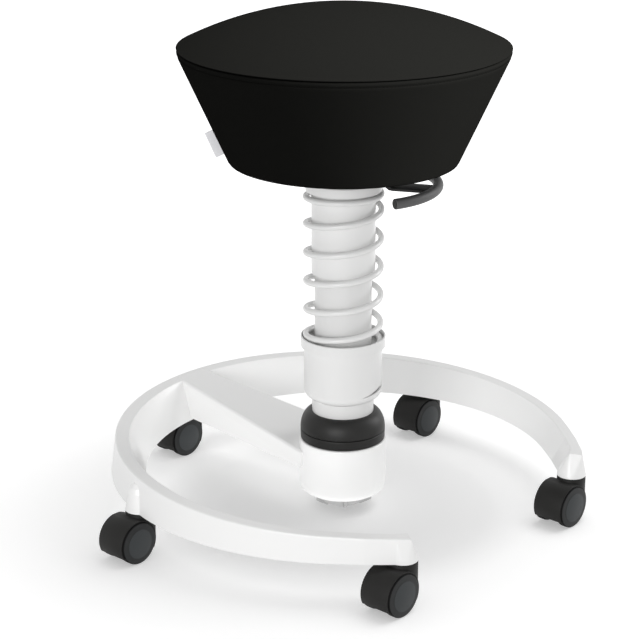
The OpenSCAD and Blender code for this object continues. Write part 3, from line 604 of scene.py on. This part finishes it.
step_count = round(coil_turns * steps_per_turn)
climbs = [0.0]
for i in range(step_count):
    climbs.append(climbs[-1] + pitch_share((i + 0.5) / steps_per_turn))
wire_low_z = spring_seat_z + wire_d / 2 + 0.0003
wire_high_z = spring_plate_z - wire_d / 2 - 0.0003
wire_line = []
for i, climb in enumerate(climbs):
    angle = wire_start + 2 * pi * i / steps_per_turn
    wire_line.append(Vector((coil_r * cos(angle), coil_r * sin(angle),
                             wire_low_z + (wire_high_z - wire_low_z) * climb / climbs[-1])))
first_run = (wire_line[0] - wire_line[1]).normalized() * wire_d
last_run = (wire_line[-1] - wire_line[-2]).normalized() * wire_d
wire_line = [wire_line[0] + first_run] + wire_line + [wire_line[-1] + last_run]
# Painted shade: the wire takes the tubes' darker tone of the enamel.
coil_spring = grown("spring_wire", path_curve("wire_path", wire_line), wire_tree, wire_sockets,
                    {"Radius": wire_d / 2, "Sides": 20, "Material": tube_enamel_painted_shade})
sharpen(coil_spring, 60)
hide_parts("coil_spring")
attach(coil_spring, "column")
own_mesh(coil_spring)

# --- Release lever ---
# A flat steel arm, cranked down from the valve and painted black, welded to a bow of dark grey
# round bar. It turns on a steel pin in the black cast bracket, which four screws hold to the pan.
lever_black_and_end_shade = grained("lever_black_and_end_shade", (0.012, 0.012, 0.012), 0.45, bump_mm=0.02, specular=0.2)
lever_grey = grained("lever_grey", (0.085, 0.085, 0.086), 0.5, bump_mm=0.02, patch_depth=0.1, specular=0.35)
finish(bright_steel, "bracket_screws", "lever_pin")
eased("lever_plate", "lever_arm", "lever", 0.5, lever_black_and_end_shade)
lever_bow = eased("lever_bow", "lever_handle", "lever", 1.2, lever_grey, segments=3)
# Painted shade: the bow's two end faces get the black paint, darker than the grey bar.
painted(lever_bow, lever_black_and_end_shade,
        lambda centre, normal: abs(Vector((-centre.y, centre.x, 0)).normalized().dot(normal)) > 0.9)

# --- Seat pan and dust cover ---
# A plywood disc screwed to the bracket. The fabric of the side is turned in under it, and a
# dust cover of the same black cloth is stapled over the edge.
plywood = grained("plywood", (0.42, 0.30, 0.18), 0.6, bump_mm=0.05, patch_scale=30, patch_depth=0.2)
finish(plywood, "seat_pan")
# Plain weave: U and V in metres, each thread a rounded ridge that goes over and under in turn; the colour is painted
# darker between the ridges as shade.
weave, v_in, v_out = node_group(
    "plain_weave", floats=(("Thread", 0.0006), ("Depth", 0.3)), colours=(("Colour", (0.01, 0.01, 0.01, 1)),),
    outputs=(("Colour", "NodeSocketColor"), ("Height", "NodeSocketFloat")))
threads = add(weave, "ShaderNodeVectorMath", operation="DIVIDE")
link(weave, weave.nodes.new("ShaderNodeUVMap").outputs["UV"], threads.inputs[0])
link(weave, v_in.outputs["Thread"], threads.inputs[1])
cell = add(weave, "ShaderNodeVectorMath", operation="FLOOR")
within = add(weave, "ShaderNodeVectorMath", operation="FRACTION")
link(weave, threads.outputs[0], cell.inputs[0])
link(weave, threads.outputs[0], within.inputs[0])
cells = weave.nodes.new("ShaderNodeSeparateXYZ")
parts = weave.nodes.new("ShaderNodeSeparateXYZ")
link(weave, cell.outputs[0], cells.inputs[0])
link(weave, within.outputs[0], parts.inputs[0])
turn_about = add(weave, "ShaderNodeMath", operation="ADD")
link(weave, cells.outputs["X"], turn_about.inputs[0])
link(weave, cells.outputs["Y"], turn_about.inputs[1])
over = add(weave, "ShaderNodeMath", operation="FLOORED_MODULO")
link(weave, turn_about.outputs[0], over.inputs[0])
over.inputs[1].default_value = 2
ridge = weave.nodes.new("ShaderNodeMix")
link(weave, over.outputs[0], ridge.inputs["Factor"])
for axis, end in (("X", "A"), ("Y", "B")):
    half_turn = add(weave, "ShaderNodeMath", operation="MULTIPLY")
    half_turn.inputs[1].default_value = pi
    rise = add(weave, "ShaderNodeMath", operation="SINE")
    link(weave, parts.outputs[axis], half_turn.inputs[0])
    link(weave, half_turn.outputs[0], rise.inputs[0])
    link(weave, rise.outputs[0], ridge.inputs[end])
# Painted shade: the cloth's colour is darker in the hollows between threads.
painted_thread_shade = add(weave, "ShaderNodeMath", operation="MULTIPLY_ADD")
keep_tone = add(weave, "ShaderNodeMath", operation="SUBTRACT")
keep_tone.inputs[0].default_value = 1.2
link(weave, v_in.outputs["Depth"], keep_tone.inputs[1])
link(weave, ridge.outputs["Result"], painted_thread_shade.inputs[0])
link(weave, v_in.outputs["Depth"], painted_thread_shade.inputs[1])
link(weave, keep_tone.outputs[0], painted_thread_shade.inputs[2])
toned = add(weave, "ShaderNodeVectorMath", operation="SCALE")
link(weave, v_in.outputs["Colour"], toned.inputs[0])
link(weave, painted_thread_shade.outputs[0], toned.inputs["Scale"])
link(weave, toned.outputs["Vector"], v_out.inputs["Colour"])
link(weave, ridge.outputs["Result"], v_out.inputs["Height"])


def woven(name, colour, roughness, thread_mm, bump_mm, depth=0.3):
    """A plain-woven cloth with threads of this width; it follows the piece's own UV map."""
    material, tree, shader = new_material(name)
    shader.inputs["Roughness"].default_value = roughness
    shader.inputs["Specular IOR Level"].default_value = 0.0
    node = tree.nodes.new("ShaderNodeGroup")
    node.node_tree = weave
    node.inputs["Thread"].default_value = thread_mm / 1000
    node.inputs["Depth"].default_value = depth
    node.inputs["Colour"].default_value = (*colour, 1)
    bump = add(tree, "ShaderNodeBump", distance=bump_mm / 1000)
    link(tree, node.outputs["Colour"], shader.inputs["Base Color"])
    link(tree, node.outputs["Height"], bump.inputs["Height"])
    link(tree, bump.outputs["Normal"], shader.inputs["Normal"])
    return material


def cut_flat(piece, place):
    """Gives the cloth its UV map: place(point, middle of the face) is where it lay on the roll."""
    uv = piece.data.uv_layers.new(name="cloth")
    for face in piece.data.polygons:
        for corner, vertex in zip(face.loop_indices, face.vertices):
            uv.data[corner].uv = place(piece.data.vertices[vertex].co, face.center)


def on_disc(point, middle):
    return point.x, point.y


seat_fabric = woven("seat_fabric", (0.0094, 0.0094, 0.0086), 0.95, thread_mm=0.6, bump_mm=0.03)
side_low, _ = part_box("side_cover")
top_low, top_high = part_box("top_cover")
dust_low, dust_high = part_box("bottom_cover")
dust_r = dust_high.x
dust_hole_r = 0.060
dust_face_z, dust_back_z = dust_low.z + 0.0016, dust_low.z + 0.0024
dust_outline = [(dust_hole_r, dust_face_z), (dust_r, dust_face_z), (dust_r, dust_back_z), (dust_hole_r, dust_back_z)]
dust_sheet = turned("dust_cover", dust_outline, 144, seat_fabric)
cut_flat(dust_sheet, on_disc)
sharpen(dust_sheet, 45)
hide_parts("bottom_cover")
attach(dust_sheet, "seat")

# A row of small rods along a line, end to end with gaps: stitches, and the staples of the cover
row_tree, r_in, r_out, row_sockets = modifier_tree(
    "sewn_row", (("Spacing", "NodeSocketFloat"), ("Length", "NodeSocketFloat"), ("Thickness", "NodeSocketFloat"),
                 ("Material", "NodeSocketMaterial")))
spaced = row_tree.nodes.new("GeometryNodeResampleCurve")
spaced.mode = "LENGTH"
stitch = row_tree.nodes.new("GeometryNodeMeshUVSphere")
stitch.inputs["Segments"].default_value = 6
stitch.inputs["Rings"].default_value = 4
stitch.inputs["Radius"].default_value = 0.5
along = row_tree.nodes.new("GeometryNodeInputTangent")
facing = row_tree.nodes.new("FunctionNodeAlignRotationToVector")
facing.axis = "X"
shape = row_tree.nodes.new("ShaderNodeCombineXYZ")
laid = row_tree.nodes.new("GeometryNodeInstanceOnPoints")
real = row_tree.nodes.new("GeometryNodeRealizeInstances")
soften = row_tree.nodes.new("GeometryNodeSetShadeSmooth")
paint = row_tree.nodes.new("GeometryNodeSetMaterial")
for start, end in ((r_in.outputs["Geometry"], spaced.inputs["Curve"]),
                   (r_in.outputs["Spacing"], spaced.inputs["Length"]),
                   (spaced.outputs["Curve"], laid.inputs["Points"]),
                   (stitch.outputs["Mesh"], laid.inputs["Instance"]),
                   (along.outputs["Tangent"], facing.inputs["Vector"]),
                   (facing.outputs["Rotation"], laid.inputs["Rotation"]),
                   (r_in.outputs["Length"], shape.inputs["X"]), (r_in.outputs["Thickness"], shape.inputs["Y"]),
                   (r_in.outputs["Thickness"], shape.inputs["Z"]), (shape.outputs["Vector"], laid.inputs["Scale"]),
                   (laid.outputs["Instances"], real.inputs["Geometry"]),
                   (real.outputs["Geometry"], soften.inputs["Geometry"]),
                   (soften.outputs["Geometry"], paint.inputs["Geometry"]),
                   (r_in.outputs["Material"], paint.inputs["Material"]),
                   (paint.outputs["Geometry"], r_out.inputs["Geometry"])):
    link(row_tree, start, end)


def ring_line(radius, height, steps=240):
    return [(radius * cos(2 * pi * k / steps), radius * sin(2 * pi * k / steps), height) for k in range(steps)]


staple_line = path_curve("staple_line", ring_line(dust_r - 0.006, dust_low.z + 0.0014), True)
staples = grown("dust_cover_staples", staple_line, row_tree, row_sockets,
                {"Spacing": 0.034, "Length": 0.011, "Thickness": 0.0009, "Material": bright_steel})
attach(staples, "seat")

# --- Seat side ---
# One conical strip of black woven upholstery over the foam, closed by an upright seam, turned
# in under the pan and stapled. It is sewn to the top panel and topstitched below that seam.
seam_z = top_low.z
seam_r = top_high.x - 0.0009
seat_low_z = side_low.z
foot_r = 0.134
side_slope = (seam_r - foot_r) / (seam_z - seat_low_z)
upright_seam = radians(232)
topstitch_drop = 0.0062
side_crown = 0.0022
crown_start = 0.06
foot_rise = 0.003


def side_r(height):
    """Radius of the side: a cone, crowned a little by the foam, most of all just under the seam."""
    below_seam = (seam_z - height) / (seam_z - seat_low_z)
    crown = side_crown * (1 - below_seam) * min(1, below_seam / crown_start)
    return foot_r + side_slope * (height - seat_low_z) + crown


def side_relief(radius, height, angle):
    """The upright seam: a narrow furrow between two soft edges."""
    if radius < side_r(height) - 0.003:
        return 0, 0
    off = abs((angle - upright_seam + pi) % (2 * pi) - pi) * radius
    return (-0.0009 if off < 0.0009 else 0.0003 if off < 0.0035 else 0), 0


side_steps = 44
side_top_z = seam_z - 0.0078
side_heights = [seat_low_z + foot_rise + (side_top_z - seat_low_z - foot_rise) * k / side_steps
                for k in range(side_steps + 1)]
side_run = [(side_r(height), height) for height in side_heights]
sewn_edge = [(side_r(seam_z - drop) + out, seam_z - drop)
             for drop, out in ((0.0070, -0.0001), (topstitch_drop, -0.0007), (0.0054, -0.0001), (0.0042, 0.0004),
                               (0.0030, 0.0005), (0.0019, 0.0001), (0.0012, -0.0004), (0.0006, -0.0012))]
side_outline = ([(foot_r - 0.0044, seat_low_z + 0.0004), (foot_r - 0.0022, seat_low_z), (foot_r, seat_low_z + 0.0008)]
                + side_run + sewn_edge + [(seam_r - 0.0045, seam_z - 0.0006),
                                          (foot_r + 0.002, seat_low_z + 0.016), (foot_r - 0.0044, seat_low_z + 0.004)])
seat_side = turned("seat_side", side_outline, 576, seat_fabric, side_relief)


def on_cone(point, middle):
    """Place on the unrolled cone, cut at the upright seam."""
    around = (atan2(middle.y, middle.x) - upright_seam) % (2 * pi)
    around += (atan2(point.y, point.x) - atan2(middle.y, middle.x) + pi) % (2 * pi) - pi
    return around * (foot_r + seam_r) / 2, point.z * hypot(1, side_slope)


cut_flat(seat_side, on_cone)

# --- Seat top ---
# A round panel of the same fabric over crowned foam, pulled down at the seam all round.
crown_z = top_high.z
dome_low = seam_z + 0.0016
dome_r = seam_r + 0.0004
dome_power = 2.12
top_steps = 56
top_run = [(dome_r * sin(pi / 2 * (1 - k / top_steps)), dome_low + (crown_z - dome_low)
            * (1 - sin(pi / 2 * (1 - k / top_steps)) ** dome_power)) for k in range(top_steps + 1)]
top_outline = ([(0, seam_z - 0.03), (seam_r - 0.05, seam_z - 0.03), (seam_r - 0.0045, seam_z),
                (seam_r - 0.0018, seam_z + 0.0001), (seam_r - 0.0005, seam_z + 0.0006)] + top_run)
seat_top = turned("seat_top", top_outline, 288, seat_fabric)
cut_flat(seat_top, on_disc)

# The foam presses the whole cover out from inside, held at its foot and along the seam. The
# tight cover hardly gives: by under 0.05 mm on the side and 0.2 mm on top. The seat's form
# comes from the outlines above, and the limit only guards against a stray point.
swelling_cap = 0.0012
foot_fade = 0.05
cloth_frames = 20
closed_cover = [(0, seat_low_z), (foot_r, seat_low_z), (seam_r, seam_z)] + top_run[1:]
cover = turned("cushion", closed_cover, 144, seat_fabric)
voxels = cover.modifiers.new("voxels", "REMESH")
voxels.mode = "VOXEL"
voxels.voxel_size = 0.005
mesh = bpy.data.meshes.new_from_object(cover.evaluated_get(bpy.context.evaluated_depsgraph_get()))
bpy.data.objects.remove(cover)
cushion = bpy.data.objects.new("cushion", mesh)
scene.collection.objects.link(cushion)
before = [vertex.co.copy() for vertex in mesh.vertices]
held = [i for i, co in enumerate(before) if co.z < seat_low_z + 0.006
        or (abs(co.z - seam_z) < 0.004 and hypot(co.x, co.y) > seam_r - 0.01)]
cushion.vertex_groups.new(name="held").add(held, 1.0, "REPLACE")
cloth = cushion.modifiers.new("cloth", "CLOTH")
cloth.settings.use_pressure = True
cloth.settings.uniform_pressure_force = 4
cloth.settings.vertex_group_mass = "held"
cloth.settings.effector_weights.gravity = 0
cloth.point_cache.frame_start, cloth.point_cache.frame_end = 1, cloth_frames
for frame_number in range(1, cloth_frames + 1):
    scene.frame_set(frame_number)
pressed = cushion.evaluated_get(bpy.context.evaluated_depsgraph_get())
after = [vertex.co.copy() for vertex in pressed.data.vertices]
scene.frame_set(1)
bpy.data.objects.remove(cushion)
near = kdtree.KDTree(len(before))
for i, co in enumerate(before):
    near.insert(co, i)
near.balance()
for panel in (seat_side, seat_top):
    for vertex in panel.data.vertices:
        found = near.find_n(vertex.co, 6)
        weights = [1 / (distance + 0.001) for _, _, distance in found]
        push = sum(((after[i] - before[i]) * w for (_, i, _), w in zip(found, weights)), Vector()) / sum(weights)
        if push.length > swelling_cap:
            push *= swelling_cap / push.length
        vertex.co += push * min(1, max(0, (vertex.co.z - seat_low_z) / foot_fade))
for panel, fill, nodes in ((seat_side, 1.0, ("side_cover",)), (seat_top, 0.95, ("top_cover", "seat_foam"))):
    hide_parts(*nodes)
    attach(panel, "seat")
    in_seat_light(panel)

# Topstitching: short stitches of black thread lying in the furrow below the seam
stitch_z = seam_z - topstitch_drop
stitch_line = path_curve("stitch_line", ring_line(side_r(stitch_z) - 0.0002, stitch_z), True)
topstitch = grown("topstitching", stitch_line, row_tree, row_sockets,
                  {"Spacing": 0.0042, "Length": 0.0033, "Thickness": 0.0007, "Material": seat_fabric})
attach(topstitch, "seat")
in_seat_light(topstitch)

# --- Side tag ---
# A strip of pale woven ribbon folded once and caught in the upright seam. It is left plain.
tag_cloth = woven("tag_cloth", (0.80, 0.80, 0.82), 0.8, thread_mm=0.5, bump_mm=0.03, depth=0.15)
tag_z = 0.464
tag_length = 0.032
tag_reach = 0.010
ribbon = 0.0004
fold_gap = 0.00012
tag_sides = [(-0.0015, -1), (0.004, -1), (tag_reach - 0.0012, -1), (tag_reach - 0.0004, -0.8), (tag_reach, 0),
             (tag_reach - 0.0004, 0.8), (tag_reach - 0.0012, 1), (0.004, 1), (-0.0015, 1)]
tag_section = [(out, side * (ribbon + fold_gap)) for out, side in tag_sides]
tag_section += [(out - (ribbon if out > 0.008 else 0), side * fold_gap) for out, side in reversed(tag_sides[1:-1])]
radial = Vector((cos(upright_seam), sin(upright_seam), 0))
sideways = Vector((-sin(upright_seam), cos(upright_seam), 0))
lean = atan2(side_slope, 1)
slant = radial * sin(lean) + Vector((0, 0, cos(lean)))
outwards = radial * cos(lean) - Vector((0, 0, sin(lean)))
tag_root = radial * (side_r(tag_z) + 0.0004) + Vector((0, 0, tag_z))
tag_rows = 12
points, faces = [], []
for row in range(tag_rows + 1):
    t = row / tag_rows
    curl = 0.0005 * sin(pi * t)
    for out, side in tag_section:
        points.append(tag_root + slant * tag_length * (t - 0.5) + outwards * out
                      + sideways * (side + curl * max(out, 0) / tag_reach))
count = len(tag_section)
for row in range(tag_rows):
    for k in range(count):
        a, b = row * count + k, row * count + (k + 1) % count
        faces.append((a, b, b + count, a + count))
faces += [tuple(range(count)), tuple(tag_rows * count + k for k in range(count))]
side_tag = shaped("folded_tag", points, faces, tag_cloth)
cut_flat(side_tag, lambda point, middle: ((point - tag_root).dot(outwards), (point - tag_root).dot(slant)))
sharpen(side_tag, 50)
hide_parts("side_tag")
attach(side_tag, "seat")
